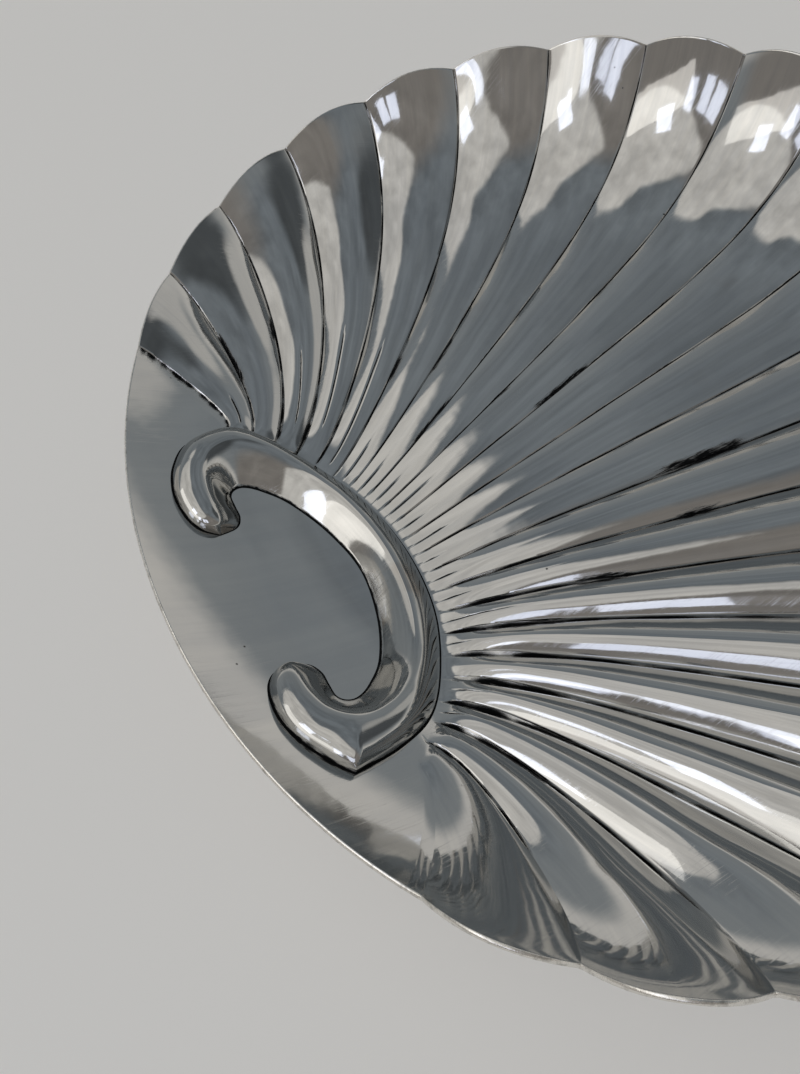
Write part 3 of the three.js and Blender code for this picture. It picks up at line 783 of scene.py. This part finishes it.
def ceiling_share(tree, axes):
    """How much of the pale ceiling shows. It is a sheet overhead with a wavy hem: across and along are places
    on it, one unit above the dish."""
    above = add(tree, "ShaderNodeMath", {0: axes["Z"], 1: 0.05}, operation="MAXIMUM").outputs[0]
    across = add(tree, "ShaderNodeMath", {0: axes["X"], 1: above}, operation="DIVIDE").outputs[0]
    along = add(tree, "ShaderNodeMath", {0: axes["Y"], 1: above}, operation="DIVIDE").outputs[0]
    hem = add(tree, "ShaderNodeMapRange", {"Value": across, "From Min": -0.25, "From Max": -0.6,
                                           "To Min": 0.05, "To Max": 0.2}, interpolation_type="SMOOTHSTEP")
    inside = add(tree, "ShaderNodeMath", {0: hem.outputs[0], 1: along}, operation="SUBTRACT")
    hemmed = add(tree, "ShaderNodeMapRange", {"Value": inside.outputs[0], "From Min": -0.04,
                                              "From Max": 0.04}, interpolation_type="SMOOTHSTEP")
    spot = add(tree, "ShaderNodeCombineXYZ", {"X": across, "Y": along})
    off = add(tree, "ShaderNodeVectorMath", {0: spot.outputs[0], 1: CEILING_CENTRE}, operation="DISTANCE")
    near = add(tree, "ShaderNodeMapRange", {"Value": off.outputs["Value"], "From Min": CEILING_REACH,
                                            "From Max": CEILING_REACH - 0.1},
               interpolation_type="SMOOTHSTEP")
    return add(tree, "ShaderNodeMath", {0: hemmed.outputs[0], 1: near.outputs[0]}, operation="MULTIPLY")


def paint_room():
    """The room that the silver mirrors: grey, with haze and a pale ceiling overhead. Near the floor it is a
    plain pale backdrop, which camera and silver both see."""
    scene.world = bpy.data.worlds.new("room")
    scene.world.use_nodes = True
    tree = scene.world.node_tree
    tree.nodes.clear()
    look = add(tree, "ShaderNodeTexCoord", {}).outputs["Generated"]
    axes = add(tree, "ShaderNodeSeparateXYZ", {"Vector": look}).outputs
    rise = add(tree, "ShaderNodeMapRange", {"Value": axes["Z"], "From Min": 0.25, "From Max": 0.75},
               interpolation_type="SMOOTHSTEP")
    low = add(tree, "ShaderNodeMapRange", {"Value": axes["Z"], "From Min": 0.26, "From Max": 0.12},
              interpolation_type="SMOOTHSTEP")
    air = add(tree, "ShaderNodeMix", {0: rise.outputs[0], 6: linear(ROOM_BELOW), 7: linear(ROOM_ABOVE)},
              data_type="RGBA")
    for part, (direction, begins, full, tone) in ROOM_PARTS.items():
        facing = add(tree, "ShaderNodeVectorMath", {0: look, 1: Vector(direction).normalized()},
                     operation="DOT_PRODUCT")
        share = add(tree, "ShaderNodeMapRange", {"Value": facing.outputs["Value"], "From Min": begins,
                                                 "From Max": full},
                    interpolation_type="SMOOTHSTEP", label=part)
        air = add(tree, "ShaderNodeMix", {0: share.outputs[0], 6: air.outputs[2], 7: linear(tone)},
                  data_type="RGBA")
    ceiling = ceiling_share(tree, axes)
    air = add(tree, "ShaderNodeMix", {0: ceiling.outputs[0], 6: air.outputs[2], 7: linear(CEILING)},
              data_type="RGBA")
    haze = add(tree, "ShaderNodeTexNoise", {"Vector": look, "Scale": 5, "Detail": 3, "Roughness": 0.55})
    level = add(tree, "ShaderNodeMapRange", {"Value": haze.outputs["Fac"], "From Min": 0.3, "From Max": 0.7,
                                             "To Min": 0.8, "To Max": 1.2})
    air = add(tree, "ShaderNodeMix", {0: rise.outputs[0], 6: air.outputs[2], 7: level.outputs[0]},
              data_type="RGBA", blend_type="MULTIPLY")
    air = add(tree, "ShaderNodeMix", {0: low.outputs[0], 6: air.outputs[2], 7: linear(BACKDROP)},
              data_type="RGBA")
    sky = add(tree, "ShaderNodeBackground", {"Color": air.outputs[2], "Strength": 1})
    add(tree, "ShaderNodeOutputWorld", {"Surface": sky.outputs[0]})


paint_room()

# The camera stands close above the dish's right side, turned to see the scroll at the left.
CAMERA_AT, CAMERA_LENS, SENSOR_WIDTH = (125.74, -90.93, 227.41), 36.45, 36
CAMERA_RIGHT, CAMERA_BACK = (0.471, 0.860, -0.195), (0.5187, -0.0910, 0.8501)
eye = bpy.data.cameras.new("camera")
eye.sensor_fit = "HORIZONTAL"
eye.sensor_width = SENSOR_WIDTH
eye.lens = CAMERA_LENS
eye.clip_start = 10 * MM
camera = bpy.data.objects.new("camera", eye)
scene.collection.objects.link(camera)
right, back = Vector(CAMERA_RIGHT).normalized(), Vector(CAMERA_BACK).normalized()
up = back.cross(right).normalized()
turned = Matrix((up.cross(back), up, back)).transposed().to_4x4()
camera.matrix_world = Matrix.Translation(Vector(CAMERA_AT) * MM) @ turned
scene.camera = camera
